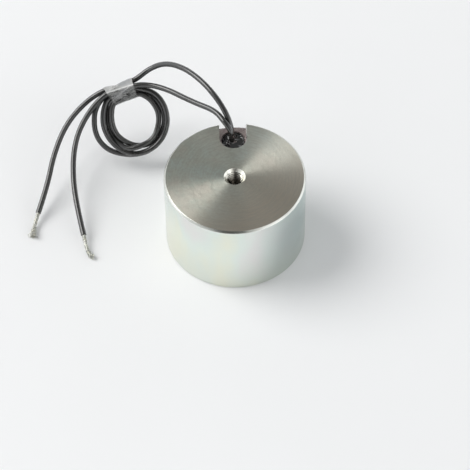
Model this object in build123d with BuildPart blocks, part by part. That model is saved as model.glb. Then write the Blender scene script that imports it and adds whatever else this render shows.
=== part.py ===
from build123d import *
import math
import os

# Holding electromagnet with a 40 mm pot and two free leads.
# A turned steel pot carries a wound former in its annular groove, cast in with resin flush with
# the holding face. The back face has a tapped hole on the axis and a slot with the lead exit.
# Frame: origin at the centre of the holding face, +Z towards the back face, +Y towards the slot.

# Pot
body_diameter = 40.0
body_height = 25.5
back_thickness = 6.0
rim_wall = 2.5
groove_width = 8.5
back_chamfer = 0.55
face_chamfer = 0.3

# Hole for the mounting screw, at tap-drill size
tap_bore = 4.2
tap_mouth = 6.1
tap_depth = 8.0
drill_point_angle = 118.0

# Lead slot and lead exit in the back face
slot_width = 7.6
slot_depth = 2.3
slot_end_from_rim = 5.7
exit_from_rim = 4.8
exit_bore = 6.5

# Former, winding and resin
former_clearance = 0.15
former_hub_wall = 0.8
flange_thickness = 0.8
flange_edge_gap = 0.2
resin_below_former = 1.4
winding_margin = 1.2
wrap_thickness = 0.2
resin_recess = 0.15

# Leads inside the pot, their soldered joints and the winding's own wire
lead_diameter = 1.6
winding_wire = 0.5
wire_hole = 1.0
splice_diameter = 2.5
splice_length = 8.0
splice_grip = 3.0
splice_clearance = 0.35
splice_angle = 60.0
lead_before_splice = 1.2
wire_past_splice = 1.6
lead_gap = 0.1
leads_back_in_exit = 1.45
leads_turned_in_exit = 40.0
lead_rise = 1.2
seal_below_floor = 0.7
seal_crown = 0.3
seam_in_seal = 1.4
inner_bend = 1.4
wire_bend = 0.8

# The leads are coiled up in a tilted plane: its x runs level, its y up the slope.
coil_centre = Vector(-28.2, 32.2, 13.0)
coil_tilt = 47.0
coil_radius = 1.65

# Tape round the coil and both leads. Its x runs along the bundle, its y inwards across it.
tape_centre = Vector(-4.2, 8.9)
tape_turn = 196.3
tape_length = 8.0
tape_thickness = 0.15
tape_slack = 0.06
tape_sag = 0.6
coil_in_tape = (0.98, 0.0)
lead_1_in_tape = (-1.9, 0.1)
lead_2_in_tape = (-0.8, 1.85)

# Stripped lead ends
strand_bundle = 1.0

groove_radius = body_diameter / 2 - rim_wall
pole_radius = groove_radius - groove_width
slot_end = body_diameter / 2 - slot_end_from_rim
exit_offset = body_diameter / 2 - exit_from_rim
groove_top = body_height - back_thickness
slot_floor = body_height - slot_depth
seal_top = slot_floor - seal_below_floor
former_radius = pole_radius + former_clearance
hub_radius = former_radius + former_hub_wall
flange_radius = groove_radius - flange_edge_gap
wrap_radius = flange_radius - winding_margin
winding_radius = wrap_radius - wrap_thickness
former_top = groove_top - splice_diameter - 2 * splice_clearance
winding_top = former_top - flange_thickness
winding_bottom = resin_below_former + flange_thickness
splice_height = former_top + splice_clearance + splice_diameter / 2
splice_radius = pole_radius + splice_clearance + splice_diameter / 2
lead_radius = lead_diameter / 2

coil_plane = Plane(
    coil_centre, x_dir=(1, 0, 0), z_dir=Vector(0, 0, 1).rotate(Axis.X, coil_tilt)
)


def in_coil(x, y, height=0.0):
    """A point given in the coil's plane."""
    return coil_plane.from_local_coords(Vector(x, y, height))


def in_tape(along, across, height=0.0):
    """A point given in the tape's own directions."""
    turned = Vector(along, across).rotate(Axis.Z, tape_turn) + tape_centre
    return in_coil(turned.X, turned.Y, height)


def cord_radii(points):
    """The largest arc at each inner corner of a route that its two runs allow."""
    radii = []
    for before, corner, after in zip(points, points[1:], points[2:]):
        arriving = corner - before
        leaving = after - corner
        half_turn = math.radians(arriving.get_angle(leaving) / 2)
        radii.append(0.45 * min(arriving.length, leaving.length) / math.tan(half_turn))
    return radii


def tube(points, radius, radii):
    """A round tube along straight runs joined by tangent arcs."""
    with BuildPart() as made:
        with BuildLine() as route:
            FilletPolyline(*points, radius=radii)
        with BuildSketch(Plane(route.line @ 0, z_dir=route.line % 0)):
            Circle(radius)
        sweep(path=route.line)
    return made


def cord(name, points, radius):
    """A cord's tube, with its radii and its volume against section times length printed."""
    radii = cord_radii(points)
    made = tube(points, radius, radii)
    with BuildLine() as route:
        FilletPolyline(*points, radius=radii)
    length = sum(edge.length for edge in route.edges())
    share = made.part.volume / (math.pi * radius**2 * length)
    print(name, "length", round(length, 1), "radii", [round(r, 1) for r in radii], round(share, 4))
    return made


# Pot: turned from bar with its centre pole, groove open at the holding face
with BuildPart() as pot_body:
    with BuildSketch(Plane.XZ) as pot_section:
        with BuildLine():
            Polyline(
                (0, 0),
                (pole_radius, 0),
                (pole_radius, groove_top),
                (groove_radius, groove_top),
                (groove_radius, 0),
                (body_diameter / 2, 0),
                (body_diameter / 2, body_height),
                (0, body_height),
                close=True,
            )
        make_face()
        outer_corners = pot_section.vertices().group_by(Axis.X)[-1].sort_by(Axis.Y)
        chamfer(outer_corners[0], face_chamfer)
        chamfer(outer_corners[-1], back_chamfer)
    revolve(axis=Axis.Z)
    with BuildSketch(Plane.XY.offset(body_height)):
        with Locations((0, slot_end)):
            Circle(slot_width / 2)
        with Locations((0, slot_end + body_diameter / 2)):
            Rectangle(slot_width, body_diameter)
    extrude(amount=-slot_depth, mode=Mode.SUBTRACT)
    with Locations((0, exit_offset, slot_floor)):
        Hole(exit_bore / 2, depth=slot_floor - groove_top)
    with Locations((0, 0, body_height)):
        CounterSinkHole(tap_bore / 2, tap_mouth / 2, depth=tap_depth, counter_sink_angle=90)
    point_height = tap_bore / 2 / math.tan(math.radians(drill_point_angle / 2))
    with Locations((0, 0, body_height - tap_depth - point_height / 2)):
        Cone(0, tap_bore / 2, point_height, mode=Mode.SUBTRACT)
pot_body.part.label = "pot_body"

# Former: moulded bobbin that slips over the pole, with two holes for the winding's ends
with BuildPart() as coil_former:
    with BuildSketch(Plane.XZ):
        with BuildLine():
            Polyline(
                (former_radius, resin_below_former),
                (flange_radius, resin_below_former),
                (flange_radius, winding_bottom),
                (hub_radius, winding_bottom),
                (hub_radius, winding_top),
                (flange_radius, winding_top),
                (flange_radius, former_top),
                (former_radius, former_top),
                close=True,
            )
        make_face()
    revolve(axis=Axis.Z)

# Winding: enamelled copper between the flanges
with BuildPart() as coil_winding:
    with BuildSketch(Plane.XY.offset(winding_bottom)):
        Circle(winding_radius)
        Circle(hub_radius, mode=Mode.SUBTRACT)
    extrude(amount=winding_top - winding_bottom)
coil_winding.part.label = "coil_winding"

# Wrap: insulating tape round the winding
with BuildPart() as winding_wrap:
    with BuildSketch(Plane.XY.offset(winding_bottom)):
        Circle(wrap_radius)
        Circle(winding_radius, mode=Mode.SUBTRACT)
    extrude(amount=winding_top - winding_bottom)
winding_wrap.part.label = "winding_wrap"

# Which side of the exit each lead has, and how far it leans by its first point past the seal
lead_exits = {"1": (1, Vector(-0.15, 1.95)), "2": (-1, Vector(-0.25, 1.9))}
seam_height = seal_top - seam_in_seal
inner_leads = {}
splices = {}
winding_wires = {}
lead_seams = {}
lead_feet = {}
leads_past_seal = {}

for number, (side, lean) in lead_exits.items():
    # The two leads stand side by side in the exit
    beside = Vector(side * (lead_diameter + lead_gap) / 2, 0).rotate(Axis.Z, leads_turned_in_exit)
    foot = Vector(0, exit_offset - leads_back_in_exit, splice_height) + beside
    above = Vector(foot.X + lean.X, foot.Y + lean.Y, slot_floor + lead_rise)
    rise = (seam_height - foot.Z) / (above.Z - foot.Z)
    lead_feet[number] = foot
    leads_past_seal[number] = above
    lead_seams[number] = foot + (above - foot) * rise

    # Its soldered joint lies beside the pole, square to it
    along = Vector(side, 0).rotate(Axis.Z, -side * splice_angle)
    middle = Vector(0, splice_radius, splice_height).rotate(Axis.Z, -side * splice_angle)
    sleeve_start = middle - along * splice_length / 2
    sleeve_end = middle + along * splice_length / 2

    # Lead, from the joint to the exit and up into it
    inner_leads[number] = tube(
        [
            sleeve_start + along * splice_grip,
            sleeve_start - along * lead_before_splice,
            foot,
            lead_seams[number],
        ],
        lead_radius,
        [inner_bend, inner_bend],
    )
    inner_leads[number].part.label = f"lead_{number}_inner"

    # Winding's own wire, from the joint down through the flange to the winding
    wire_turn = sleeve_end + along * wire_past_splice
    winding_wires[number] = tube(
        [
            sleeve_end - along * splice_grip,
            wire_turn,
            Vector(wire_turn.X, wire_turn.Y, winding_top),
        ],
        winding_wire / 2,
        [wire_bend],
    )
    winding_wires[number].part.label = f"winding_wire_{number}"

    # Sleeve over the soldered joint
    with BuildPart() as sleeve:
        with BuildSketch(Plane(sleeve_start, z_dir=along)):
            Circle(splice_diameter / 2)
        extrude(amount=splice_length)
        add(inner_leads[number].part, mode=Mode.SUBTRACT)
        add(winding_wires[number].part, mode=Mode.SUBTRACT)
    sleeve.part.label = f"splice_sleeve_{number}"
    splices[number] = sleeve

    with coil_former:
        with Locations((wire_turn.X, wire_turn.Y, former_top)):
            Hole(wire_hole / 2, depth=flange_thickness)
coil_former.part.label = "coil_former"

# Leads from the exit to the middle of the tape, along hand-chosen points
lead_1_points = [
    lead_seams["1"],
    leads_past_seal["1"],
    Vector(-0.8, 19.2, 28.4),
    Vector(-3.8, 23.8, 31.0),
    Vector(-8.0, 29.8, 32.2),
    Vector(-13.2, 36.5, 30.9),
    Vector(-18.6, 41.4, 28.0),
    Vector(-23.4, 42.6, 24.6),
    in_tape(-5.5, *lead_1_in_tape),
    in_tape(0, *lead_1_in_tape),
]
lead_2_points = [
    lead_seams["2"],
    leads_past_seal["2"],
    Vector(-1.7, 17.0, 26.0),
    Vector(-3.1, 20.0, 26.8),
    Vector(-5.7, 23.6, 26.9),
    Vector(-9.3, 27.0, 26.6),
    Vector(-14.4, 31.3, 25.4),
    Vector(-18.0, 34.8, 23.8),
    Vector(-22.8, 37.6, 22.7),
    in_tape(-5.0, *lead_2_in_tape),
    in_tape(0, *lead_2_in_tape),
]
lead_1_run = cord("lead_1_run", lead_1_points, lead_radius)
lead_1_run.part.label = "lead_1_run"
lead_2_run = cord("lead_2_run", lead_2_points, lead_radius)
lead_2_run.part.label = "lead_2_run"

# Leads from the middle of the tape down to where their insulation ends
tail_1_points = [
    in_tape(0, *lead_1_in_tape),
    in_tape(4.6, *lead_1_in_tape),
    Vector(-42.6, 37.2, 16.8),
    Vector(-48.6, 31.8, 13.2),
    Vector(-52.4, 23.8, 9.0),
    Vector(-54.4, 15.4, 4.8),
    Vector(-57.1, 7.6, 2.1),
]
tail_2_points = [
    in_tape(0, *lead_2_in_tape),
    in_tape(4.6, *lead_2_in_tape),
    Vector(-42.0, 33.6, 15.8),
    Vector(-45.6, 28.0, 12.0),
    Vector(-46.9, 20.4, 8.2),
    Vector(-46.2, 10.0, 4.6),
    Vector(-43.8, -0.9, 2.0),
]
lead_1_tail = cord("lead_1_tail", tail_1_points, lead_radius)
lead_1_tail.part.label = "lead_1_tail"
lead_2_tail = cord("lead_2_tail", tail_2_points, lead_radius)
lead_2_tail.part.label = "lead_2_tail"

# Stripped ends, each a twisted bundle of tinned strands that comes down to the surface
strand_1_points = [tail_1_points[-1], Vector(-58.1, 4.4, 1.1), Vector(-58.7, 0.0, 0.7)]
strand_2_points = [tail_2_points[-1], Vector(-43.0, -4.9, 1.1), Vector(-41.5, -8.0, 0.7)]
lead_1_strands = cord("lead_1_strands", strand_1_points, strand_bundle / 2)
lead_1_strands.part.label = "lead_1_strands"
lead_2_strands = cord("lead_2_strands", strand_2_points, strand_bundle / 2)
lead_2_strands.part.label = "lead_2_strands"

# Coil: the outer shape of the coiled turns, with the one loose turn outside the bundle
coil_points = [
    in_coil(8.5, 2.2),
    in_coil(5.6, 7.6),
    in_tape(-5.7, *coil_in_tape),
    in_tape(4.65, *coil_in_tape),
    in_coil(-9.2, 3.0),
    in_coil(-8.7, -1.8),
    in_coil(-6.4, -6.3),
    in_coil(-1.8, -9.1),
    in_coil(4.0, -8.4),
    in_coil(8.0, -4.0),
]
coil_radii = cord_radii([coil_points[-1]] + coil_points + [coil_points[0]])
print("leads_coil radii", [round(r, 1) for r in coil_radii])
loose_points = [
    in_coil(-7.2, 6.2),
    in_coil(-9.9, 5.2),
    in_coil(-12.2, 1.4),
    in_coil(-11.8, -4.2),
    in_coil(-8.0, -8.4),
    in_coil(-2.6, -9.0),
]
loose_turn = cord("loose turn", loose_points, lead_radius)
with BuildPart() as leads_coil:
    with BuildLine() as coil_route:
        FilletPolyline(*coil_points, radius=coil_radii, close=True)
    with BuildSketch(Plane(coil_route.line @ 0, z_dir=coil_route.line % 0)):
        Circle(coil_radius)
    sweep(path=coil_route.line)
    add(loose_turn.part)
leads_coil.part.label = "leads_coil"

# Tape: clear adhesive tape pulled tight round the coil and both leads
tape_end = Plane(
    in_tape(-tape_length / 2, 0), x_dir=in_tape(0, 1) - in_tape(0, 0), z_dir=in_tape(1, 0) - in_tape(0, 0)
)
with BuildPart() as binding_tape:
    with BuildSketch(tape_end):
        with Locations(coil_in_tape, (coil_in_tape[0] + tape_sag, coil_in_tape[1])):
            Circle(coil_radius + tape_slack + tape_thickness)
        with Locations(lead_1_in_tape, lead_2_in_tape):
            Circle(lead_radius + tape_slack + tape_thickness)
        make_hull()
    extrude(amount=tape_length)
    with BuildSketch(tape_end):
        with Locations(coil_in_tape, (coil_in_tape[0] + tape_sag, coil_in_tape[1])):
            Circle(coil_radius + tape_slack)
        with Locations(lead_1_in_tape, lead_2_in_tape):
            Circle(lead_radius + tape_slack)
        make_hull()
    extrude(amount=tape_length, mode=Mode.SUBTRACT)
binding_tape.part.label = "binding_tape"

# Seal: black resin in the lead exit, slightly crowned, set round both leads
with BuildPart() as exit_seal:
    with BuildSketch(Plane.XY.offset(groove_top)):
        with Locations((0, exit_offset)):
            Circle(exit_bore / 2)
    extrude(amount=seal_top - groove_top)
    crown_edge = exit_seal.faces().sort_by(Axis.Z)[-1].edges()
    chamfer(crown_edge, length=seal_crown, length2=exit_bore / 4)
    for number, foot in lead_feet.items():
        with BuildSketch(Plane(foot, z_dir=leads_past_seal[number] - foot)):
            Circle(lead_radius)
        extrude(amount=body_height, mode=Mode.SUBTRACT)
exit_seal.part.label = "exit_seal"

# Resin: fills what is left of the groove, just short of the holding face
with BuildPart() as potting_resin:
    with BuildSketch(Plane.XY.offset(resin_recess)):
        Circle(groove_radius)
        Circle(pole_radius, mode=Mode.SUBTRACT)
    extrude(amount=groove_top - resin_recess)
    for piece in (coil_former, coil_winding, winding_wrap):
        add(piece.part, mode=Mode.SUBTRACT)
    for number in lead_exits:
        add(splices[number].part, mode=Mode.SUBTRACT)
        add(inner_leads[number].part, mode=Mode.SUBTRACT)
        add(winding_wires[number].part, mode=Mode.SUBTRACT)
potting_resin.part.label = "potting_resin"

os.makedirs("parts", exist_ok=True)
export_step(pot_body.part, "parts/pot_body.step")
export_step(coil_former.part, "parts/coil_former.step")
export_step(coil_winding.part, "parts/coil_winding.step")
export_step(winding_wrap.part, "parts/winding_wrap.step")
export_step(potting_resin.part, "parts/potting_resin.step")
export_step(exit_seal.part, "parts/exit_seal.step")
for number in lead_exits:
    export_step(splices[number].part, f"parts/splice_sleeve_{number}.step")
    export_step(winding_wires[number].part, f"parts/winding_wire_{number}.step")
    export_step(inner_leads[number].part, f"parts/lead_{number}_inner.step")
export_step(lead_1_run.part, "parts/lead_1_run.step")
export_step(lead_2_run.part, "parts/lead_2_run.step")
export_step(lead_1_tail.part, "parts/lead_1_tail.step")
export_step(lead_2_tail.part, "parts/lead_2_tail.step")
export_step(lead_1_strands.part, "parts/lead_1_strands.step")
export_step(lead_2_strands.part, "parts/lead_2_strands.step")
export_step(leads_coil.part, "parts/leads_coil.step")
export_step(binding_tape.part, "parts/binding_tape.step")
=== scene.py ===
import math

import bmesh
import bpy
from mathutils import Matrix, Vector, noise


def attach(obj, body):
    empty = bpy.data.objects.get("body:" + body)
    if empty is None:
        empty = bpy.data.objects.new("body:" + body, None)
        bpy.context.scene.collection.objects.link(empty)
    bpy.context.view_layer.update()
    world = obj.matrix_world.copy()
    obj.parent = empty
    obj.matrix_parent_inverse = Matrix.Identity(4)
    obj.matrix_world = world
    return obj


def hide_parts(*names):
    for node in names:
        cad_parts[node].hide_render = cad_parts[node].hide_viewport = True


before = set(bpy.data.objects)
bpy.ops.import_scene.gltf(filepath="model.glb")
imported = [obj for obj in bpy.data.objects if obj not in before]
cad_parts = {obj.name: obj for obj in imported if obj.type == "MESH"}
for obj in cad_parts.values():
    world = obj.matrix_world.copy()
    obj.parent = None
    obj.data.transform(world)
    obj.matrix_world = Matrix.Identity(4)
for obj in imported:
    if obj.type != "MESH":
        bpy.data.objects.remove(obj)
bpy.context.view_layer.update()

# Pot: one turned steel part with its centre pole, open at the holding face, zinc-plated all over.
# The back face is faced on the lathe, then the slot and the lead exit are milled and drilled, and
# the hole on the axis is drilled, countersunk and tapped.
pot_radius = 0.020
pot_height = 0.0255
pole_radius = 0.009
groove_radius = 0.0175
groove_top = 0.0195
groove_edge = 0.00015
face_chamfer = 0.0003
back_chamfer = 0.00055
worn_edge = 0.00007
slot_half_width = 0.0038
slot_floor = 0.0232
slot_end = 0.0143
exit_centre = (0.0, 0.0152)
exit_radius = 0.00325
thread_pitch = 0.0008
thread_crest = 0.0021
thread_root = 0.0025
thread_mouth = 0.00305
thread_bottom = pot_height - 0.008
drill_point = 0.00126


def added(name, mesh):
    """A new object at the origin with that mesh."""
    made = bpy.data.objects.new(name, mesh)
    bpy.context.scene.collection.objects.link(made)
    return made


def from_bmesh(name, build):
    """A new object from a bmesh, with its faces turned outwards."""
    bmesh.ops.recalc_face_normals(build, faces=build.faces)
    mesh = bpy.data.meshes.new(name)
    build.to_mesh(mesh)
    build.free()
    return added(name, mesh)


def stacked(name, rings):
    """A closed skin over rings of points, one above the other. A ring of one point closes an end."""
    build = bmesh.new()
    made = [[build.verts.new(point) for point in ring] for ring in rings]
    steps = max(len(ring) for ring in rings)
    for lower, upper in zip(made, made[1:]):
        for i in range(steps):
            j = (i + 1) % steps
            corners = [
                lower[i % len(lower)],
                lower[j % len(lower)],
                upper[j % len(upper)],
                upper[i % len(upper)],
            ]
            build.faces.new(dict.fromkeys(corners))
    for end in (made[0], made[-1]):
        if len(end) > 1:
            build.faces.new(end)
    return from_bmesh(name, build)


def circle(radius, height, steps, centre=(0.0, 0.0)):
    """Points round a level circle."""
    turns = [2 * math.pi * i / steps for i in range(steps)]
    return [(centre[0] + radius * math.cos(a), centre[1] + radius * math.sin(a), height) for a in turns]


def settle(piece):
    """Applies the piece's modifiers to its mesh."""
    bpy.context.view_layer.update()
    shaped = piece.evaluated_get(bpy.context.evaluated_depsgraph_get())
    mesh = bpy.data.meshes.new_from_object(shaped)
    piece.modifiers.clear()
    piece.data = mesh


def cut_out(piece, *cutters):
    """Cuts the closed cutters out of the piece and removes them."""
    for cutter in cutters:
        change = piece.modifiers.new("cut", "BOOLEAN")
        change.object = cutter
        change.solver = "EXACT"
    settle(piece)
    for cutter in cutters:
        bpy.data.objects.remove(cutter)


def shade(piece, angle=30):
    """Smooth shading, with edges sharper than the angle kept and flat faces left flat."""
    piece.data.shade_smooth()
    build = bmesh.new()
    build.from_mesh(piece.data)
    for edge in build.edges:
        edge.smooth = len(edge.link_faces) == 2 and edge.calc_face_angle() < math.radians(angle)
    build.to_mesh(piece.data)
    build.free()
    change = piece.modifiers.new("flat_faces", "WEIGHTED_NORMAL")
    change.keep_sharp = True
    settle(piece)


def rounded(outline, radius):
    """The outline with each of its inner corners worn to a small round."""
    points = [outline[0]]
    for before, corner, after in zip(outline, outline[1:], outline[2:]):
        to_before = min(radius / math.dist(before, corner), 0.4)
        to_after = min(radius / math.dist(corner, after), 0.4)
        for step in range(5):
            t = step / 4
            back, ahead = to_before * (1 - t) ** 2, to_after * t**2
            points.append(
                tuple(c + back * (b - c) + ahead * (a - c) for b, c, a in zip(before, corner, after))
            )
    return points + [outline[-1]]


pot_outline = [
    (0.0, 0.0),
    (pole_radius - groove_edge, 0.0),
    (pole_radius, groove_edge),
    (pole_radius, groove_top),
    (groove_radius, groove_top),
    (groove_radius, groove_edge),
    (groove_radius + groove_edge, 0.0),
    (pot_radius - face_chamfer, 0.0),
    (pot_radius, face_chamfer),
    (pot_radius, pot_height - back_chamfer),
    (pot_radius - back_chamfer, pot_height),
    (0.0, pot_height),
]
turned_outline = rounded(pot_outline, worn_edge)
turned_steps = 256
pot = stacked("pot", [[(0, 0, z)] if r == 0 else circle(r, z, turned_steps) for r, z in turned_outline])

# The slot's and the exit's upper edges are broken with a file, the slot's less on its left side
broken_edge = 0.00025
left_share = 0.3
cutter_corner = 0.0002
slot_end_steps = 48
drilled_steps = 96


def slot_shape(wider, height):
    """The slot's outline at a height, wider by that much. It opens a little more at the rim."""
    shape = []
    for i in range(slot_end_steps + 1):
        turn = math.pi + math.pi * i / slot_end_steps
        share = (1 + left_share + (1 - left_share) * math.cos(turn)) / 2
        reach = slot_half_width + wider * share
        shape.append((reach * math.cos(turn), slot_end + reach * math.sin(turn)))
    for side, share in ((1, 1.0), (-1, left_share)):
        half = slot_half_width + wider * share
        flare = [
            (half, pot_radius - 0.0004),
            (half + broken_edge, pot_radius + 0.0001),
            (half + broken_edge, pot_radius + 0.002),
        ]
        shape += [(side * x, y) for x, y in flare[::side]]
    return [(x, y, height) for x, y in shape]


slot_cutter = stacked(
    "slot_cutter",
    [
        slot_shape(-cutter_corner, slot_floor),
        slot_shape(-0.3 * cutter_corner, slot_floor + 0.3 * cutter_corner),
        slot_shape(0.0, slot_floor + cutter_corner),
        slot_shape(0.0, pot_height - broken_edge),
        slot_shape(broken_edge, pot_height),
        slot_shape(broken_edge + 0.001, pot_height + 0.001),
    ],
)
exit_cutter = stacked(
    "exit_cutter",
    [
        circle(exit_radius, groove_top - 0.0005, drilled_steps, exit_centre),
        circle(exit_radius, slot_floor - broken_edge, drilled_steps, exit_centre),
        circle(exit_radius + broken_edge, slot_floor, drilled_steps, exit_centre),
        circle(exit_radius + broken_edge, slot_floor + 0.0004, drilled_steps, exit_centre),
    ],
)

# The tap leaves a helical groove that fades out over its last turn, just above the bottom
thread_levels = 109
level_height = 0.000077
flank_slope = 1.3
crest_width = 0.15
bore_rings = [[(0, 0, thread_bottom - drill_point)]]
for level in range(thread_levels):
    height = thread_bottom + level_height * level
    ring = []
    for i in range(drilled_steps):
        turn = 2 * math.pi * i / drilled_steps
        phase = ((height / thread_pitch) - turn / (2 * math.pi)) % 1.0
        groove = min(max(flank_slope * (1 - abs(2 * phase - 1)) - crest_width, 0.0), 1.0)
        fade = min(max((height - thread_bottom) / thread_pitch - 0.5, 0.0), 1.0)
        radius = thread_crest + (thread_root - thread_crest) * groove * fade
        radius = max(radius, thread_mouth - (pot_height - height))
        ring.append((radius * math.cos(turn), radius * math.sin(turn), height))
    bore_rings.append(ring)
cut_out(pot, slot_cutter, exit_cutter, stacked("bore_cutter", bore_rings))
shade(pot)


def node(material, kind, links=None, **settings):
    """A node in a material or group. Links give its inputs a value or another node's output."""
    tree = getattr(material, "node_tree", material)
    made = tree.nodes.new(kind)
    for name, value in settings.items():
        setattr(made, name, value)
    for name, value in (links or {}).items():
        if isinstance(value, bpy.types.NodeSocket):
            tree.links.new(value, made.inputs[name])
        else:
            made.inputs[name].default_value = value
    return made


def ranged(material, value, low, high, from_low=0.0, from_high=1.0, **settings):
    """A value spread between two others."""
    limits = {"Value": value, "From Min": from_low, "From Max": from_high, "To Min": low, "To Max": high}
    return node(material, "ShaderNodeMapRange", limits, **settings).outputs["Result"]


def blended(material, share, first, second):
    """A colour between two others."""
    return node(material, "ShaderNodeMix", {0: share, 6: first, 7: second}, data_type="RGBA").outputs[2]


def reckoned(material, operation, *values):
    """What an operation makes of some numbers."""
    return node(material, "ShaderNodeMath", dict(enumerate(values)), operation=operation).outputs["Value"]


def noisy(material, place, scale, detail=2.0, **links):
    """Noise between 0 and 1 over a piece."""
    links = {"Vector": place, "Scale": scale, "Detail": detail} | links
    return node(material, "ShaderNodeTexNoise", links).outputs["Fac"]


def in_parts(material, place):
    """The X, Y and Z of a place."""
    return node(material, "ShaderNodeSeparateXYZ", {"Vector": place}).outputs


def from_axis(material, place):
    """How far a place is from the upright axis."""
    flat = node(material, "ShaderNodeVectorMath", {0: place, 1: (1, 1, 0)}, operation="MULTIPLY")
    reach = node(material, "ShaderNodeVectorMath", {0: flat.outputs["Vector"]}, operation="LENGTH")
    return reach.outputs["Value"]


def along_line(material, place, line):
    """How far a place lies along a direction."""
    reach = node(material, "ShaderNodeVectorMath", {0: place, 1: line}, operation="DOT_PRODUCT")
    return reach.outputs["Value"]


def new_group(name, inputs, outputs):
    """A shader node group with those sockets."""
    made = bpy.data.node_groups.new(name, "ShaderNodeTree")
    for label, kind, value in inputs:
        socket = made.interface.new_socket(label, in_out="INPUT", socket_type=kind)
        if value is not None:
            socket.default_value = value
    for label, kind in outputs:
        made.interface.new_socket(label, in_out="OUTPUT", socket_type=kind)
    return made, made.nodes.new("NodeGroupInput").outputs, made.nodes.new("NodeGroupOutput").inputs


# Colour that drifts between three tints in soft patches
tint_names = ("Tint A", "Tint B", "Tint C")
drifting_tint, given, result = new_group(
    "drifting_tint",
    [("Vector", "NodeSocketVector", None), ("Scale", "NodeSocketFloat", 100.0)]
    + [(name, "NodeSocketColor", (1, 1, 1, 1)) for name in tint_names],
    [("Color", "NodeSocketColor"), ("Mask", "NodeSocketFloat")],
)
patches = noisy(drifting_tint, given["Vector"], given["Scale"], 3.0, Roughness=0.55)
mask = ranged(drifting_tint, patches, 0.0, 1.0, 0.36, 0.64)
first_half = ranged(drifting_tint, mask, 0.0, 1.0, 0.0, 0.5)
second_half = ranged(drifting_tint, mask, 0.0, 1.0, 0.5, 1.0)
colour = blended(drifting_tint, first_half, given["Tint A"], given["Tint B"])
colour = blended(drifting_tint, second_half, colour, given["Tint C"])
drifting_tint.links.new(colour, result["Color"])
drifting_tint.links.new(mask, result["Mask"])

# Fine rings that a turning tool leaves round the axis, on a face or along a side
turning_marks, given, result = new_group(
    "turning_marks",
    [("Vector", "NodeSocketVector", None), ("Feed", "NodeSocketFloat", 0.0001)],
    [("Height", "NodeSocketFloat"), ("Rings", "NodeSocketFloat")],
)
parts = in_parts(turning_marks, given["Vector"])
across = reckoned(turning_marks, "DIVIDE", from_axis(turning_marks, given["Vector"]), given["Feed"])
upwards = reckoned(turning_marks, "DIVIDE", parts["Z"], given["Feed"])
turned = reckoned(turning_marks, "ARCTAN2", parts["Y"], parts["X"])
around = reckoned(turning_marks, "MULTIPLY", turned, 9.0)
unrolled = node(turning_marks, "ShaderNodeCombineXYZ", {"X": across, "Y": upwards, "Z": around})
unrolled = unrolled.outputs["Vector"]
turning_marks.links.new(noisy(turning_marks, unrolled, 1.0), result["Height"])
turning_marks.links.new(noisy(turning_marks, unrolled, 0.45), result["Rings"])


def new_material(name, **fixed):
    """A material, its surface shader and the places on a piece. Even values are set on the shader."""
    made = bpy.data.materials.new(name)
    made.use_nodes = True
    shader = made.node_tree.nodes["Principled BSDF"]
    for key, value in fixed.items():
        shader.inputs[key.replace("_", " ").title().replace("Ior", "IOR")].default_value = value
    return made, shader, node(made, "ShaderNodeTexCoord").outputs["Object"]


def tinted(material, place, scale, *tints):
    """The colour and mask of the drifting tint with three tints of its own."""
    links = {"Vector": place, "Scale": scale} | {name: (*tint, 1) for name, tint in zip(tint_names, tints)}
    return node(material, "ShaderNodeGroup", links, node_tree=drifting_tint).outputs


def turned_with(material, place, feed):
    """The height and rings of the turning marks at a feed per turn."""
    links = {"Vector": place, "Feed": feed}
    return node(material, "ShaderNodeGroup", links, node_tree=turning_marks).outputs


def finished(material, shader, colour, roughness, height, strength, distance):
    """Links a material's colour, roughness and relief to its shader."""
    links = material.node_tree.links
    links.new(colour, shader.inputs["Base Color"])
    if roughness is not None:
        links.new(roughness, shader.inputs["Roughness"])
    relief = node(material, "ShaderNodeBump", {"Height": height, "Strength": strength, "Distance": distance})
    links.new(relief.outputs["Normal"], shader.inputs["Normal"])


def ringed(material, shader):
    """Spreads the highlights across the rings that turning leaves round the axis."""
    tangent = node(material, "ShaderNodeTangent", direction_type="RADIAL", axis="Z").outputs["Tangent"]
    material.node_tree.links.new(tangent, shader.inputs["Tangent"])


# The turned side, the chamfers and the holding face: clear zinc plating with a faint rainbow
plated_side, shader, place = new_material(
    "plated_side", metallic=1.0, anisotropic=0.35, anisotropic_rotation=0.25
)
drawn_out = node(plated_side, "ShaderNodeMapping", {"Vector": place, "Scale": (1, 1, 0.4)}).outputs["Vector"]
tint = tinted(plated_side, drawn_out, 75.0, (0.84, 0.86, 0.74), (0.78, 0.85, 0.80), (0.80, 0.79, 0.78))
marks = turned_with(plated_side, place, 0.0004)
parts = in_parts(plated_side, place)
# Painted shade: darker and bluer towards the right, where the side mirrors the magnet's shadow on the floor
painted_shade_right = ranged(plated_side, parts["X"], 0.0, 0.9, 0.005, 0.019)
colour = blended(plated_side, painted_shade_right, tint["Color"], (0.525, 0.63, 0.61, 1))
# Painted shade: darker towards the bottom of the side
painted_shade_low = ranged(plated_side, parts["Z"], 0.45, 0.0, 0.001, 0.014)
colour = blended(plated_side, painted_shade_low, colour, (0.60, 0.60, 0.53, 1))
# The back chamfer is darker than the side: painted shade that tones down the lamp's reflection in it
back_edge = ranged(plated_side, parts["Z"], 0.0, 1.0, pot_height - 0.00062, pot_height - 0.0005)
colour = blended(plated_side, back_edge, colour, (0.60, 0.61, 0.57, 1))
roughness = ranged(plated_side, marks["Rings"], 0.17, 0.26, 0.3, 0.7)
roughness = reckoned(plated_side, "MULTIPLY_ADD", back_edge, 0.04, roughness)
finished(plated_side, shader, colour, roughness, marks["Height"], 0.08, 0.00002)
ringed(plated_side, shader)
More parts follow.
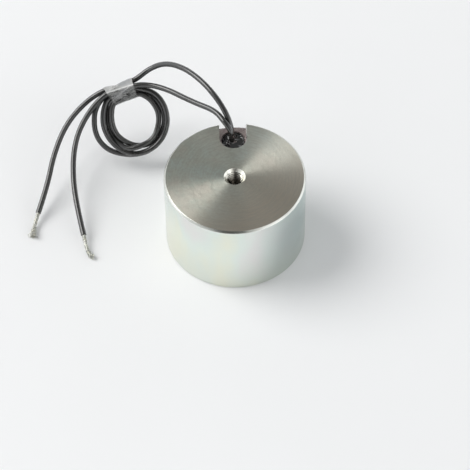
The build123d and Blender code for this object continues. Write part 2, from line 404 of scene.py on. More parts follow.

# The faced back: its rings spread a light into a bow-tie. It is greener to the rear left. Painted shade makes
# it darker and browner to the front right, and a painted highlight makes it paler to the rear right.
turned_back, shader, place = new_material(
    "turned_back", metallic=1.0, anisotropic=0.9, anisotropic_rotation=0.25
)
tint = tinted(turned_back, place, 110.0, (0.55, 0.615, 0.565), (0.55, 0.585, 0.515), (0.585, 0.565, 0.495))
marks = turned_with(turned_back, place, 0.00022)
spots = ranged(turned_back, noisy(turned_back, place, 1400.0, 3.0), 0.0, 0.5, 0.4, 0.7)
colour = blended(turned_back, spots, tint["Color"], (0.42, 0.41, 0.36, 1))
# Painted shade: darker and browner towards the front right
painted_shade_front_right = ranged(turned_back, along_line(turned_back, place, (1, -1, 0)), 0.0, 0.85, -0.006, 0.018)
colour = blended(turned_back, painted_shade_front_right, colour, (0.52, 0.455, 0.375, 1))
# Painted highlight: paler towards the rear right, where the bow-tie's lobe lies
painted_highlight_rear_right = ranged(turned_back, along_line(turned_back, place, (1, 1.5, 0)), 0.0, 0.32, 0.002, 0.020)
colour = blended(turned_back, painted_highlight_rear_right, colour, (0.81, 0.80, 0.725, 1))
darker_rings = ranged(turned_back, marks["Rings"], 0.0, 0.42, 0.35, 0.65)
colour = blended(turned_back, darker_rings, colour, (0.41, 0.40, 0.35, 1))
roughness = ranged(turned_back, marks["Rings"], 0.29, 0.38, 0.3, 0.7)
finished(turned_back, shader, colour, roughness, marks["Height"], 0.05, 0.00002)
ringed(turned_back, shader)

# The milled slot: duller, with a pinkish cast
milled_slot, shader, place = new_material("milled_slot", metallic=1.0)
tint = tinted(milled_slot, place, 500.0, (0.46, 0.38, 0.375), (0.54, 0.47, 0.45), (0.36, 0.29, 0.29))
roughness = ranged(milled_slot, tint["Mask"], 0.26, 0.4)
cutter_marks = noisy(milled_slot, place, 2500.0)
finished(milled_slot, shader, tint["Color"], roughness, cutter_marks, 0.3, 0.00002)

# The tapped hole: bright cut steel, with painted shade in the thread's grooves and towards the bottom
tapped_hole, shader, place = new_material("tapped_hole", metallic=1.0)
tint = tinted(tapped_hole, place, 600.0, (0.84, 0.83, 0.76), (0.78, 0.78, 0.71), (0.74, 0.72, 0.65))
height = in_parts(tapped_hole, place)["Z"]
# Painted shade: near black towards the bottom of the hole
out_of_painted_shade = ranged(tapped_hole, height, 0.0, 1.0, pot_height - 0.0042, pot_height - 0.0010)
colour = blended(tapped_hole, out_of_painted_shade, (0.10, 0.09, 0.075, 1), tint["Color"])
outwards = from_axis(tapped_hole, place)
# Painted shade in the thread's grooves below the mouth
in_groove = ranged(tapped_hole, outwards, 0.0, 1.0, thread_crest + 0.00008, thread_crest + 0.00025)
below_mouth = ranged(tapped_hole, height, 0.9, 0.0, pot_height - 0.00105, pot_height - 0.0009)
painted_groove_shade = reckoned(tapped_hole, "MULTIPLY", in_groove, below_mouth)
colour = blended(tapped_hole, painted_groove_shade, colour, (0.09, 0.08, 0.065, 1))
in_mouth = ranged(tapped_hole, height, 0.0, 0.1, pot_height - 0.001, pot_height - 0.0007)
roughness = reckoned(tapped_hole, "ADD", in_mouth, ranged(tapped_hole, tint["Mask"], 0.14, 0.24))
chatter = noisy(tapped_hole, place, 3000.0)
finished(tapped_hole, shader, colour, roughness, chatter, 0.2, 0.00002)

# Which finish each face of the pot has, by where the face lies
hole_reach = thread_mouth + 0.00013
hole_end = 0.016
just_below_back = pot_height - 0.00002
slot_walls = (groove_top - 0.0005, pot_height - broken_edge)
slot_reach = slot_half_width + 0.0003
slot_start = 0.0098
inside_rim = pot_radius - 0.00005
pot_finishes = (plated_side, turned_back, milled_slot, tapped_hole)
for finish in pot_finishes:
    pot.data.materials.append(finish)
for face in pot.data.polygons:
    x, y, z = face.center
    outwards = math.hypot(x, y)
    in_slot = abs(x) < slot_reach and y > slot_start and outwards < inside_rim
    finish = plated_side
    if outwards < hole_reach and z > hole_end:
        finish = tapped_hole
    elif z > just_below_back:
        finish = turned_back
    elif in_slot and slot_walls[0] < z <= slot_walls[1]:
        finish = milled_slot
    face.material_index = pot_finishes.index(finish)
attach(pot, "root")
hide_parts("pot_body")

# Former: moulded natural nylon bobbin. It slips over the pole and holds the winding between its
# flanges.
former_nylon, shader, place = new_material("former_nylon", roughness=0.45, subsurface_weight=0.1)
tint = tinted(former_nylon, place, 200.0, (0.80, 0.78, 0.70), (0.84, 0.82, 0.75), (0.78, 0.75, 0.66))
grain = noisy(former_nylon, place, 3000.0)
finished(former_nylon, shader, tint["Color"], None, grain, 0.1, 0.00002)


def dress(material, *names):
    """Gives CAD nodes their material."""
    for name in names:
        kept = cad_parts[name].data.materials
        kept.clear()
        kept.append(material)


dress(former_nylon, "coil_former")

# Winding: enamelled copper wire, wound in layers on the former. Its two ends come up through the
# upper flange and are soldered to the leads.
enamelled_copper, shader, place = new_material(
    "enamelled_copper", metallic=1.0, coat_weight=0.6, coat_roughness=0.15
)
tint = tinted(enamelled_copper, place, 300.0, (0.72, 0.30, 0.13), (0.64, 0.25, 0.10), (0.78, 0.36, 0.17))
layers = {"Vector": place, "Scale": 900.0, "Distortion": 0.2}
wires = node(enamelled_copper, "ShaderNodeTexWave", layers, bands_direction="Z").outputs["Fac"]
roughness = ranged(enamelled_copper, tint["Mask"], 0.25, 0.4)
finished(enamelled_copper, shader, tint["Color"], roughness, wires, 0.8, 0.0001)
dress(enamelled_copper, "coil_winding", "winding_wire_1", "winding_wire_2")

# Wrap: thin yellow insulating film. It is wound once round the outside of the winding and holds
# the last layer down.
wrap_film, shader, place = new_material("wrap_film", coat_weight=0.5, coat_roughness=0.1)
tint = tinted(wrap_film, place, 150.0, (0.70, 0.50, 0.08), (0.76, 0.56, 0.12), (0.66, 0.44, 0.06))
roughness = ranged(wrap_film, tint["Mask"], 0.2, 0.35)
creases = noisy(wrap_film, place, 500.0, 3.0)
finished(wrap_film, shader, tint["Color"], roughness, creases, 0.3, 0.00005)
dress(wrap_film, "winding_wrap")

# Sleeves: woven glass sleeving, one pushed over each soldered joint between a lead and an end of
# the winding. The resin holds them.
woven_sleeve, shader, place = new_material("woven_sleeve", sheen_weight=0.3)
tint = tinted(woven_sleeve, place, 400.0, (0.74, 0.70, 0.58), (0.80, 0.77, 0.66), (0.70, 0.64, 0.52))
roughness = ranged(woven_sleeve, tint["Mask"], 0.6, 0.8)
weave = node(woven_sleeve, "ShaderNodeTexChecker", {"Vector": place, "Scale": 3000.0}).outputs["Fac"]
finished(woven_sleeve, shader, tint["Color"], roughness, weave, 0.5, 0.00005)
dress(woven_sleeve, "splice_sleeve_1", "splice_sleeve_2")

# Resin: black potting resin, poured in from the holding face until it stands just below it. It
# locks the winding in the pot.
black_resin, shader, place = new_material("potting_resin", coat_weight=0.8, coat_roughness=0.06)
tint = tinted(black_resin, place, 180.0, (0.014, 0.014, 0.016), (0.020, 0.019, 0.020), (0.011, 0.012, 0.013))
roughness = ranged(black_resin, tint["Mask"], 0.1, 0.2)
ripples = noisy(black_resin, place, 260.0)
finished(black_resin, shader, tint["Color"], roughness, ripples, 0.5, 0.0002)
dress(black_resin, "potting_resin")

# Seal: the same resin, dropped into the lead exit by hand. It climbs a little up the bore's wall
# and the leads, and keeps a burst bubble.
seal_top = 0.0225
seal_bottom = 0.0196
lead_radius = 0.0008
leads_in_seal = [(-0.00009, 0.01698), (-0.00042, 0.01526)]
climb_up_wall = 0.00035
climb_from_wall = 0.0003
climb_up_lead = 0.0005
climb_from_lead = 0.00035
bubble = (-0.0017, 0.0136)
bubble_radius = 0.00065
bubble_lip = 0.00045
lip_width = 0.0002
bubble_dip = 0.0003
dip_width = 0.0004
unevenness = 0.00022
lumps_per_metre = 900
seal_rows = 48


def seal_height(x, y):
    """The seal's surface at a point of the exit."""
    wall = exit_radius - math.dist((x, y), exit_centre)
    height = seal_top + climb_up_wall * math.exp(-wall / climb_from_wall)
    for lead in leads_in_seal:
        gap = max(math.dist((x, y), lead) - lead_radius, 0.0)
        height += climb_up_lead * math.exp(-gap / climb_from_lead)
    from_bubble = math.dist((x, y), bubble)
    height += bubble_lip * math.exp(-(((from_bubble - bubble_radius) / lip_width) ** 2))
    height -= bubble_dip * math.exp(-((from_bubble / dip_width) ** 2))
    height += unevenness * noise.noise(Vector((x * lumps_per_metre, y * lumps_per_metre, 0.7)))
    return height


bottom_ring = circle(exit_radius, seal_bottom, drilled_steps, exit_centre)
seal_rings = [[(*exit_centre, seal_bottom)], bottom_ring]
for row in range(seal_rows, 0, -1):
    level = circle(exit_radius * row / seal_rows, 0.0, drilled_steps, exit_centre)
    seal_rings.append([(x, y, seal_height(x, y)) for x, y, z in level])
seal_rings.append([(*exit_centre, seal_height(*exit_centre))])
seal = stacked("seal", seal_rings)
shade(seal, 60)
seal.data.materials.append(black_resin)
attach(seal, "root")
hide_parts("exit_seal")

# Leads: two stranded wires with black vinyl insulation. Each comes up out of the seal, runs in the
# air to the tape, makes two turns of the coil and ends in a tail. Their own stiffness holds them up.
lead_diameter = 2 * lead_radius
coil_centre = Vector((-28.2, 32.2, 13.0)) / 1000
coil_tilt = math.radians(47)
coil_across = Vector((1, 0, 0))
coil_up = Vector((0, math.cos(coil_tilt), math.sin(coil_tilt)))
coil_normal = coil_across.cross(coil_up)
tape_centre = (-4.2, 8.9)
tape_turn = math.radians(196.3)


def in_air(x, y, z):
    """A point given in millimetres in the part's own frame."""
    return Vector((x, y, z)) / 1000


def in_coil(x, y, height):
    """A point given in millimetres in the plane of the coil."""
    return coil_centre + (coil_across * x + coil_up * y + coil_normal * height) / 1000


def in_tape(along, across, height):
    """A point given in millimetres along and across the tape."""
    x = tape_centre[0] + along * math.cos(tape_turn) - across * math.sin(tape_turn)
    y = tape_centre[1] + along * math.sin(tape_turn) + across * math.cos(tape_turn)
    return in_coil(x, y, height)


def route(kind, *points):
    """Route points in metres from points given in one of the frames."""
    return [kind(*point) for point in points]


# The four turns of the coil, each from the tape's left end round to its right end
loose_turn = route(
    in_coil,
    (-9.7, 6.9, 0.5), (-11.1, 4.9, 0.3), (-11.9, 2.8, 0.2), (-12.1, 0.8, 0.1), (-12.1, -1.5, 0.0),
    (-11.5, -4.1, -0.1), (-10.3, -6.2, -0.3), (-8.7, -7.8, -0.6), (-7.0, -8.8, -0.9), (-4.8, -9.5, -1.2),
    (-2.4, -9.9, -1.3), (0.0, -9.9, -1.5), (2.6, -9.4, -1.7), (5.0, -8.1, -1.9), (7.1, -6.0, -2.0),
    (8.4, -3.4, -2.0), (9.1, -0.6, -2.0), (9.1, 2.0, -1.9), (8.2, 4.7, -1.7), (6.8, 6.8, -1.4),
    (5.0, 8.3, -1.2), (2.9, 9.1, -1.2),
)
outer_turn = route(
    in_coil,
    (-9.0, 4.5, 0.5), (-9.45, 2.3, 0.7), (-9.5, 0.2, 0.8), (-9.2, -1.8, 0.8), (-8.3, -4.1, 0.8),
    (-6.9, -6.1, 0.7), (-5.1, -7.8, 0.6), (-2.9, -9.0, 0.5), (-0.3, -9.6, 0.5), (2.3, -9.1, 0.6),
    (4.9, -7.9, 0.8), (7.0, -6.0, 1.0), (8.5, -3.6, 1.1), (9.3, -0.9, 1.1), (9.3, 2.0, 1.1),
    (8.6, 4.6, 1.0), (7.4, 6.7, 0.8), (5.6, 8.4, 0.6), (3.4, 9.3, 0.5),
)
crossing_turn = route(
    in_coil,
    (-7.9, 3.9, -0.8), (-8.3, 2.1, -0.8), (-8.35, 0.0, -0.8), (-8.0, -2.0, -0.8), (-7.0, -4.2, -0.7),
    (-5.6, -6.0, -0.2), (-3.9, -7.3, 0.6), (-2.3, -7.9, 1.2), (-0.2, -7.6, 1.5), (2.0, -6.8, 1.4),
    (4.1, -5.8, 1.1), (5.6, -4.2, 0.7), (6.4, -2.1, 0.4), (6.9, 0.2, 0.2), (6.7, 2.7, 0.1),
    (5.7, 4.8, 0.0), (4.3, 6.6, 0.0), (2.4, 7.8, 0.1),
)
inner_turn = route(
    in_coil,
    (-6.75, 4.0, 0.4), (-7.0, 2.0, 0.5), (-6.9, 0.1, 0.5), (-6.5, -1.8, 0.5), (-5.6, -3.7, 0.4),
    (-4.1, -5.2, 0.2), (-2.3, -6.4, -0.1), (-0.3, -7.1, -0.3), (2.1, -7.2, -0.5), (4.4, -6.6, -0.6),
    (6.3, -5.1, -0.6), (7.7, -3.0, -0.6), (8.5, -0.5, -0.5), (8.4, 2.0, -0.5), (7.6, 4.4, -0.5),
    (6.3, 6.3, -0.6), (4.5, 7.6, -0.8), (2.6, 8.2, -0.9),
)
lead_routes = {
    "1": route(
        in_air,
        (0.32, 16.6, 20.6), (-0.38, 17.16, 23.62), (-0.54, 18.26, 26.26), (-1.87, 20.85, 28.94),
        (-4.31, 24.57, 31.14), (-8.2, 30.0, 32.2), (-13.2, 36.5, 30.9), (-18.6, 41.4, 28.0),
        (-23.4, 42.6, 24.6),
    )
    + route(in_tape, (-5.5, -1.9, 0.1), (-2.0, -1.8, 0.7), (1.0, -1.3, 1.3), (4.2, -0.4, 0.7))
    + loose_turn
    + route(in_tape, (-5.0, 0.8, -1.2), (-2.0, 0.5, -1.3), (1.5, 0.8, -1.0), (4.4, 1.1, 0.2))
    + outer_turn
    + route(in_tape, (-5.2, 0.6, 0.4), (-2.4, -0.3, -0.2), (1.0, -1.3, -0.5), (4.2, -1.9, 0.1))
    + route(
        in_air,
        (-42.6, 37.2, 16.8), (-48.6, 31.8, 13.2), (-52.4, 23.8, 9.0), (-54.4, 15.4, 4.8), (-57.1, 7.6, 2.1),
    ),
    "2": route(
        in_air,
        (-0.6, 14.89, 20.61), (-0.24, 15.51, 23.88), (-0.53, 16.16, 26.34), (-2.3, 17.97, 28.17),
        (-4.78, 22.4, 28.0), (-10.19, 27.02, 26.2), (-14.4, 31.3, 24.5), (-18.0, 34.8, 23.4),
        (-22.8, 37.6, 22.7),
    )
    + route(in_tape, (-5.0, -0.7, 1.85), (-2.4, 0.0, 1.9), (0.0, 0.9, 1.9), (1.9, 1.7, 0.9), (3.9, 2.1, -0.5))
    + crossing_turn
    + route(in_tape, (-5.0, 2.2, 0.2), (-2.0, 2.3, 0.4), (1.0, 2.4, 0.4), (2.9, 2.6, 0.3))
    + inner_turn
    + route(
        in_tape,
        (-5.0, 1.4, -0.8), (-2.5, 1.0, -0.2), (0.0, 0.4, 0.3), (1.8, -0.3, 1.1), (4.6, -0.8, 1.8),
    )
    + route(
        in_air,
        (-42.0, 33.6, 15.8), (-45.6, 28.0, 12.0), (-46.9, 20.4, 8.2), (-46.2, 10.0, 4.6), (-43.8, -0.9, 2.0),
    ),
}


def smooth_line(name, points):
    """A curve object with one smooth line through the route's bends."""
    curve = bpy.data.curves.new(name, "CURVE")
    curve.dimensions = "3D"
    curve.resolution_u = 12
    line = curve.splines.new("NURBS")
    line.points.add(len(points) - 1)
    for made, point in zip(line.points, points):
        made.co = (*point, 1.0)
    line.order_u = 3
    line.use_endpoint_u = True
    return added(name, curve)


def read_points(line):
    """The points along a smooth line."""
    mesh = bpy.data.meshes.new_from_object(line)
    points = [vertex.co.copy() for vertex in mesh.vertices]
    bpy.data.meshes.remove(mesh)
    return points


def new_builder(name, inputs):
    """A geometry node tree with named inputs, its input node's outputs and its output's inputs."""
    tree = bpy.data.node_groups.new(name, "GeometryNodeTree")
    tree.interface.new_socket("Geometry", in_out="INPUT", socket_type="NodeSocketGeometry")
    tree.interface.new_socket("Geometry", in_out="OUTPUT", socket_type="NodeSocketGeometry")
    for label, kind in inputs.items():
        tree.interface.new_socket(label, in_out="INPUT", socket_type=f"NodeSocket{kind}")
    return tree, tree.nodes.new("NodeGroupInput").outputs, tree.nodes.new("NodeGroupOutput").inputs


def hand_over(tree, mesh, material, result):
    """Ends a tree: smooth shading, a plain mesh and its material."""
    smooth = node(tree, "GeometryNodeSetShadeSmooth", {"Geometry": mesh}).outputs["Geometry"]
    whole = node(tree, "GeometryNodeRealizeInstances", {"Geometry": smooth}).outputs["Geometry"]
    dressed = node(tree, "GeometryNodeSetMaterial", {"Geometry": whole, "Material": material})
    tree.links.new(dressed.outputs["Geometry"], result["Geometry"])


def grown(name, line, tree, **values):
    """The plain mesh that a geometry node tree makes along a line. The line is removed."""
    change = line.modifiers.new("grow", "NODES")
    change.node_group = tree
    for socket in tree.interface.items_tree:
        key = socket.name.lower().replace(" ", "_")
        if key in values:
            change[socket.identifier] = values[key]
    bpy.context.view_layer.update()
    shaped = line.evaluated_get(bpy.context.evaluated_depsgraph_get())
    mesh = bpy.data.meshes.new_from_object(shaped)
    bpy.data.objects.remove(line)
    return added(name, mesh)


# Insulated wire along a line: round, with a slight unevenness from the strands inside
wire_tree, given, result = new_builder(
    "insulated_wire", {"Diameter": "Float", "Unevenness": "Float", "Seed": "Int", "Material": "Material"}
)
point_spacing = 0.0004
bumps_per_metre = 420.0
seed_step = 17.3
finer_line = {"Curve": given["Geometry"], "Length": point_spacing}
finer = node(wire_tree, "GeometryNodeResampleCurve", finer_line, mode="LENGTH").outputs["Curve"]
so_far = node(wire_tree, "GeometryNodeSplineParameter").outputs["Length"]
kept_line = node(wire_tree, "GeometryNodeCaptureAttribute", {"Geometry": finer})
kept_line.capture_items.new("FLOAT", "Length")
wire_tree.links.new(so_far, kept_line.inputs["Length"])
seeded = reckoned(wire_tree, "MULTIPLY", given["Seed"], seed_step)
shifted = reckoned(wire_tree, "MULTIPLY_ADD", so_far, bumps_per_metre, seeded)
uneven_line = {"W": shifted, "Scale": 1.0, "Detail": 1.0}
uneven = node(wire_tree, "ShaderNodeTexNoise", uneven_line, noise_dimensions="1D").outputs["Fac"]
centred = reckoned(wire_tree, "SUBTRACT", uneven, 0.5)
thicker = reckoned(wire_tree, "MULTIPLY_ADD", centred, given["Unevenness"], 1.0)
half = reckoned(wire_tree, "MULTIPLY", given["Diameter"], 0.5)
section = node(wire_tree, "GeometryNodeCurvePrimitiveCircle", {"Resolution": 24, "Radius": half})
kept_section = node(wire_tree, "GeometryNodeCaptureAttribute", {"Geometry": section.outputs["Curve"]})
kept_section.capture_items.new("FLOAT", "Factor")
around = node(wire_tree, "GeometryNodeSplineParameter").outputs["Factor"]
wire_tree.links.new(around, kept_section.inputs["Factor"])
skin = node(
    wire_tree,
    "GeometryNodeCurveToMesh",
    {
        "Curve": kept_line.outputs["Geometry"],
        "Profile Curve": kept_section.outputs["Geometry"],
        "Scale": thicker,
        "Fill Caps": True,
    },
)
unrolled = {"X": kept_line.outputs["Length"], "Y": kept_section.outputs["Factor"]}
unrolled = node(wire_tree, "ShaderNodeCombineXYZ", unrolled).outputs["Vector"]
mapped = node(
    wire_tree,
    "GeometryNodeStoreNamedAttribute",
    {"Geometry": skin.outputs["Mesh"], "Name": "UVMap"},
    data_type="FLOAT2",
    domain="CORNER",
)
wire_tree.links.new(unrolled, mapped.inputs["Value"])
hand_over(wire_tree, mapped.outputs["Geometry"], given["Material"], result)

black_vinyl, shader, place = new_material(
    "black_vinyl", specular_ior_level=0.6, coat_weight=0.8, coat_roughness=0.14
)
tint = tinted(black_vinyl, place, 160.0, (0.012, 0.012, 0.011), (0.017, 0.016, 0.015), (0.010, 0.011, 0.011))
roughness = ranged(black_vinyl, tint["Mask"], 0.24, 0.32)
scuffs = noisy(black_vinyl, place, 2200.0)
finished(black_vinyl, shader, tint["Color"], roughness, scuffs, 0.2, 0.00002)
dress(black_vinyl, "lead_1_inner", "lead_2_inner")

leads = {}
lead_paths = {}
for number, points in lead_routes.items():
    line = smooth_line(f"lead_{number}_line", points)
    lead_paths[number] = read_points(line)
    leads[number] = grown(
        f"lead_{number}",
        line,
        wire_tree,
        diameter=lead_diameter,
        unevenness=0.05,
        seed=int(number),
        material=black_vinyl,
    )

# Stripped ends: 19 tinned copper strands in each lead. The insulation is cut away, and the strands
# are twisted together by hand, and frayed a little at their tips.
strand_tree, given, result = new_builder(
    "twisted_strands",
    {
        "Strands": "Int",
        "Strand Diameter": "Float",
        "Bundle Radius": "Float",
        "Turns": "Float",
        "Fray": "Float",
        "Seed": "Int",
        "Material": "Material",
    },
)
golden_angle = 2.39996
points_along = 60
fray_start = 0.45
finer_line = {"Curve": given["Geometry"], "Count": points_along}
finer = node(strand_tree, "GeometryNodeResampleCurve", finer_line, mode="COUNT").outputs["Curve"]
amount = {"Geometry": finer, "Amount": given["Strands"]}
copies = node(strand_tree, "GeometryNodeDuplicateElements", amount, domain="SPLINE").outputs
which = copies["Duplicate Index"]
share = node(strand_tree, "GeometryNodeSplineParameter").outputs["Factor"]

# How far each strand has turned round the bundle, and how far out it lies
start_angle = reckoned(strand_tree, "MULTIPLY", which, golden_angle)
twist = reckoned(strand_tree, "MULTIPLY", given["Turns"], 2 * math.pi)
angle = reckoned(strand_tree, "MULTIPLY_ADD", twist, share, start_angle)
packing = reckoned(strand_tree, "SQRT", reckoned(strand_tree, "DIVIDE", which, given["Strands"]))
seeds = {"ID": which, "Seed": given["Seed"]}
looseness = node(strand_tree, "FunctionNodeRandomValue", seeds, data_type="FLOAT").outputs[1]
near_tip = ranged(strand_tree, share, 0.0, 1.0, fray_start, 1.0)
near_tip = reckoned(strand_tree, "POWER", near_tip, 2.0)
loosened = reckoned(strand_tree, "MULTIPLY", near_tip, looseness)
opened = reckoned(strand_tree, "MULTIPLY_ADD", loosened, given["Fray"], 1.0)
reach = reckoned(strand_tree, "MULTIPLY", packing, given["Bundle Radius"])
offset = reckoned(strand_tree, "MULTIPLY", reach, opened)


def vector_node(operation, links):
    """What an operation makes of the strands' vectors."""
    return node(strand_tree, "ShaderNodeVectorMath", links, operation=operation).outputs["Vector"]


side = node(strand_tree, "GeometryNodeInputNormal").outputs["Normal"]
ahead = node(strand_tree, "GeometryNodeInputTangent").outputs["Tangent"]
other_side = vector_node("CROSS_PRODUCT", {0: ahead, 1: side})
sideways = vector_node("SCALE", {0: side, "Scale": reckoned(strand_tree, "COSINE", angle)})
crossways = vector_node("SCALE", {0: other_side, "Scale": reckoned(strand_tree, "SINE", angle)})
direction = vector_node("ADD", {0: sideways, 1: crossways})
shift = {"Geometry": copies["Geometry"], "Offset": vector_node("SCALE", {0: direction, "Scale": offset})}
twisted = node(strand_tree, "GeometryNodeSetPosition", shift).outputs["Geometry"]

# What would reach into the table lies on it
now_at = in_parts(strand_tree, node(strand_tree, "GeometryNodeInputPosition").outputs["Position"])
lifted = reckoned(strand_tree, "MAXIMUM", now_at["Z"], given["Strand Diameter"])
on_table = node(strand_tree, "ShaderNodeCombineXYZ", {"X": now_at["X"], "Y": now_at["Y"], "Z": lifted})
laying = {"Geometry": twisted, "Position": on_table.outputs["Vector"]}
laid = node(strand_tree, "GeometryNodeSetPosition", laying).outputs["Geometry"]
half = reckoned(strand_tree, "MULTIPLY", given["Strand Diameter"], 0.5)
section = node(strand_tree, "GeometryNodeCurvePrimitiveCircle", {"Resolution": 10, "Radius": half})
drawn = {"Curve": laid, "Profile Curve": section.outputs["Curve"], "Fill Caps": True}
skin = node(strand_tree, "GeometryNodeCurveToMesh", drawn).outputs["Mesh"]
hand_over(strand_tree, skin, given["Material"], result)

tinned_copper, shader, place = new_material("tinned_copper", metallic=1.0)
tint = tinted(tinned_copper, place, 900.0, (0.76, 0.76, 0.71), (0.56, 0.57, 0.53), (0.70, 0.68, 0.60))
roughness = ranged(tinned_copper, tint["Mask"], 0.22, 0.4)
dents = noisy(tinned_copper, place, 5000.0)
finished(tinned_copper, shader, tint["Color"], roughness, dents, 0.2, 0.00001)

strand_routes = {
    "1": route(
        in_air,
        (-56.9, 8.2, 2.3), (-57.5, 6.2, 1.7), (-58.1, 4.0, 1.1), (-58.3, 1.8, 0.85), (-58.7, 0.0, 0.75),
    ),
    "2": route(
        in_air,
        (-43.9, -0.3, 2.1), (-43.5, -2.6, 1.5), (-42.9, -4.9, 1.1), (-42.3, -6.8, 0.9),
        (-41.5, -7.9, 0.75), (-40.9, -7.9, 0.75),
    ),
}
strand_fray = {"1": 3.2, "2": 0.7}
strands = {}
for number, points in strand_routes.items():
    strands[number] = grown(
        f"strands_{number}",
        smooth_line(f"strand_{number}_line", points),
        strand_tree,
        strands=19,
        strand_diameter=0.0002,
        bundle_radius=0.00054,
        turns=2.2,
        fray=strand_fray[number],
        seed=4 + int(number),
        material=tinned_copper,
    )
    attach(strands[number], "root")
    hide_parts(f"lead_{number}_strands")

# Tape: clear adhesive tape, wound once and a bit round the coil and both leads, creased where it
# bridges from one lead to the next. Its ends and its gap to the leads are in millimetres.
tape_ends = (-4.5, 3.5)
tape_gap = 0.12
tape_slant = 0.35
tape_thickness = 0.00008
tape_sections = 40
tape_steps = 120
broad_crease = 0.1
fine_crease = 0.05


def slant(along):
    """How far the tape's sections lean towards its middle per millimetre across, at its left end."""
    return -tape_slant * max(along / tape_ends[1], 0.0)


def strand_centres(along):
    """Where the leads' turns cross a section of the tape, across it and above it in millimetres."""
    origin = in_tape(along, 0, 0)
    direction = (in_tape(1, -slant(along), 0) - in_tape(0, 0, 0)).normalized()
    inwards = (in_tape(0, 1, 0) - in_tape(0, 0, 0)).normalized()
    centres = []
    for path in lead_paths.values():
        for before, after in zip(path, path[1:]):
            start = (before - origin).dot(direction)
            end = (after - origin).dot(direction)
            if start * end < 0:
                point = before.lerp(after, start / (start - end)) - origin
                across, height = point.dot(inwards) * 1000, point.dot(coil_normal) * 1000
                if abs(across) < 5 and abs(height) < 4:
                    centres.append((across, height))
    return centres


tape_build = bmesh.new()
tape_rings = []
for section in range(tape_sections + 1):
    along = tape_ends[0] + (tape_ends[1] - tape_ends[0]) * section / tape_sections
    centres = strand_centres(along)
    ring = []
    for i in range(tape_steps):
        facing = 2 * math.pi * i / tape_steps
        normal = (math.cos(facing), math.sin(facing))
        farthest = max(centres, key=lambda centre: centre[0] * normal[0] + centre[1] * normal[1])
        reach = lead_radius * 1000 + tape_gap
        across = farthest[0] + reach * normal[0]
        height = farthest[1] + reach * normal[1]
        crease = broad_crease * noise.noise(Vector((along * 0.9, across * 0.8, height * 0.8)))
        crease += fine_crease * noise.noise(Vector((along * 2.3, across * 2.0, height * 2.0)))
        slanted = along + slant(along) * across
        point = in_tape(slanted, across + crease * normal[0], height + crease * normal[1])
        ring.append(tape_build.verts.new(point))
    tape_rings.append(ring)
for lower, upper in zip(tape_rings, tape_rings[1:]):
    for i in range(tape_steps):
        j = (i + 1) % tape_steps
        tape_build.faces.new((lower[i], lower[j], upper[j], upper[i]))
tape = from_bmesh("tape", tape_build)
bridge = tape.modifiers.new("bridge", "SMOOTH")
bridge.factor = 0.5
bridge.iterations = 4
settle(tape)
wall = tape.modifiers.new("wall", "SOLIDIFY")
wall.thickness = tape_thickness
wall.offset = 1.0
settle(tape)
shade(tape, 60)

# The film is hazier where it is stretched over its upper band, and a painted highlight runs along the ridge
# that ends that band
clear_tape, shader, place = new_material("clear_tape", ior=1.47)
tint = tinted(clear_tape, place, 330.0, (0.48, 0.48, 0.47), (0.66, 0.66, 0.65), (0.40, 0.41, 0.42))
inwards = (in_tape(0, 1, 0) - in_tape(0, 0, 0)).normalized()
tape_middle = in_tape(0, 0, 0).dot(inwards)
down_tape = along_line(clear_tape, place, tuple(inwards))
hazy = ranged(clear_tape, down_tape, 0.55, 0.16, tape_middle - 0.0013, tape_middle - 0.0005)
patchy_haze = reckoned(clear_tape, "MULTIPLY", hazy, ranged(clear_tape, tint["Mask"], 0.45, 1.5))
# Painted highlight: a pale band along the ridge, where the tape bends over the strands
ridge_up = ranged(clear_tape, down_tape, 0.0, 0.8, tape_middle - 0.0014, tape_middle - 0.0011)
ridge_down = ranged(clear_tape, down_tape, 1.0, 0.0, tape_middle - 0.0010, tape_middle - 0.0007)
painted_highlight_ridge = reckoned(clear_tape, "MULTIPLY", ridge_up, ridge_down)
cover = reckoned(clear_tape, "MAXIMUM", patchy_haze, painted_highlight_ridge)
with_painted_highlight = blended(clear_tape, painted_highlight_ridge, tint["Color"], (0.85, 0.85, 0.84, 1))
roughness = ranged(clear_tape, tint["Mask"], 0.12, 0.3)
creases = noisy(clear_tape, place, 700.0, 4.0, Distortion=1.2)
finished(clear_tape, shader, with_painted_highlight, roughness, creases, 0.5, 0.00015)
clear_tape.node_tree.links.new(cover, shader.inputs["Alpha"])
tape.data.materials.append(clear_tape)
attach(tape, "root")
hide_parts("binding_tape")

# Each lead is attached to the root, and the CAD runs, tails and coil are hidden
for number, lead in leads.items():
    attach(lead, "root")
    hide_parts(f"lead_{number}_run", f"lead_{number}_tail", "leads_coil")

# Floor: a sheet of plain matt paper under the magnet, wide enough for every view. It takes the
# magnet's soft shadow.
floor_reach = 3.0
floor_corners = [(x * floor_reach, y * floor_reach, 0) for x, y in ((-1, -1), (1, -1), (1, 1), (-1, 1))]
floor_mesh = bpy.data.meshes.new("floor")
floor_mesh.from_pydata(floor_corners, [], [(0, 1, 2, 3)])
floor = added("floor", floor_mesh)
paper, shader, place = new_material("paper", roughness=0.9, specular_ior_level=0.1)
tint = tinted(paper, place, 8.0, (0.888, 0.892, 0.90), (0.892, 0.896, 0.905), (0.884, 0.888, 0.896))
paper.node_tree.links.new(tint["Color"], shader.inputs["Base Color"])
floor.data.materials.append(paper)

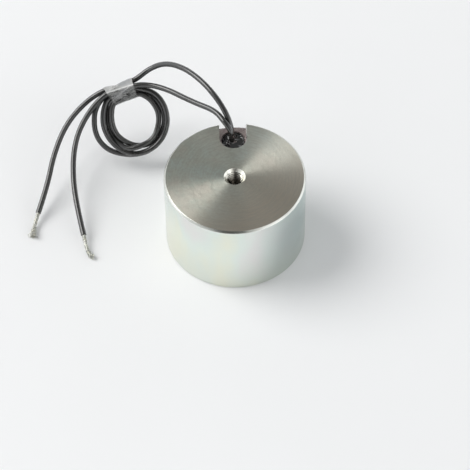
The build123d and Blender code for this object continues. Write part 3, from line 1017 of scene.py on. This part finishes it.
# Light: pale walls all round under a darker ceiling, with the dark camera in front, one wide soft
# lamp from the left and a weak one from the front.
world = bpy.data.worlds.new("room")
bpy.context.scene.world = world
world.use_nodes = True
world.node_tree.nodes.clear()
look = node(world, "ShaderNodeTexCoord").outputs["Generated"]
upwards = in_parts(world, look)["Z"]
right_side = ranged(world, along_line(world, look, (0.5, -0.87, 0)), 0.0, 1.0, -1.0, 1.0)
room = blended(world, right_side, (1.02, 1.04, 1.065, 1), (1.90, 1.94, 1.99, 1))
overhead = ranged(world, upwards, 0.0, 1.0, 0.15, 0.75, interpolation_type="SMOOTHSTEP")
room = blended(world, overhead, room, (0.31, 0.315, 0.31, 1))
to_camera = along_line(world, look, (0.013, -0.79, 0.61))
dark_spot = ranged(world, to_camera, 0.0, 1.0, 0.82, 0.94, interpolation_type="SMOOTHSTEP")
room = blended(world, dark_spot, room, (0.10, 0.10, 0.095, 1))
camera_rays = node(world, "ShaderNodeLightPath").outputs["Is Camera Ray"]
seen = blended(world, camera_rays, room, (0.9, 0.905, 0.915, 1))
glow = node(world, "ShaderNodeBackground", {"Color": seen, "Strength": 1.0})
node(world, "ShaderNodeOutputWorld", {"Surface": glow.outputs["Background"]})


def soft_lamp(name, turn, height, distance, width, power):
    """A round soft lamp aimed at the magnet, placed by its turn and height in degrees."""
    turn, height = math.radians(turn), math.radians(height)
    lamp = bpy.data.lights.new(name, "AREA")
    lamp.shape = "DISK"
    lamp.size = width
    lamp.energy = power
    lamp.color = (1.0, 0.995, 0.985)
    made = added(name, lamp)
    level = math.cos(height)
    direction = Vector((level * math.cos(turn), level * math.sin(turn), math.sin(height)))
    made.location = distance * direction
    made.rotation_euler = (-made.location).to_track_quat("-Z", "Y").to_euler()


soft_lamp("left_lamp", 164, 46, 2.2, 1.68, 34.0)
soft_lamp("front_lamp", 315, 38, 2.2, 2.0, 6.0)

# Camera: where the photograph was taken from, with a long lens. Its place and its three directions
# were worked out from the photograph.
camera_data = bpy.data.cameras.new("camera")
camera_data.lens = 171.87
camera_data.sensor_width = 36.0
camera_data.shift_x = -0.00106
camera_data.shift_y = 0.00106
camera_data.clip_start = 0.01
camera = added("camera", camera_data)
camera_place = Vector((-0.00837, -0.39792, 0.51343))
camera_right = Vector((0.99943, -0.03252, -0.00893))
camera_up = Vector((0.0312, 0.79068, 0.61143))
camera_back = Vector((-0.01282, -0.61136, 0.79125))
camera_turn = Matrix((camera_right, camera_up, camera_back)).transposed().to_4x4()
camera.matrix_world = Matrix.Translation(camera_place) @ camera_turn
bpy.context.scene.camera = camera
bpy.context.scene.view_settings.view_transform = "Standard"
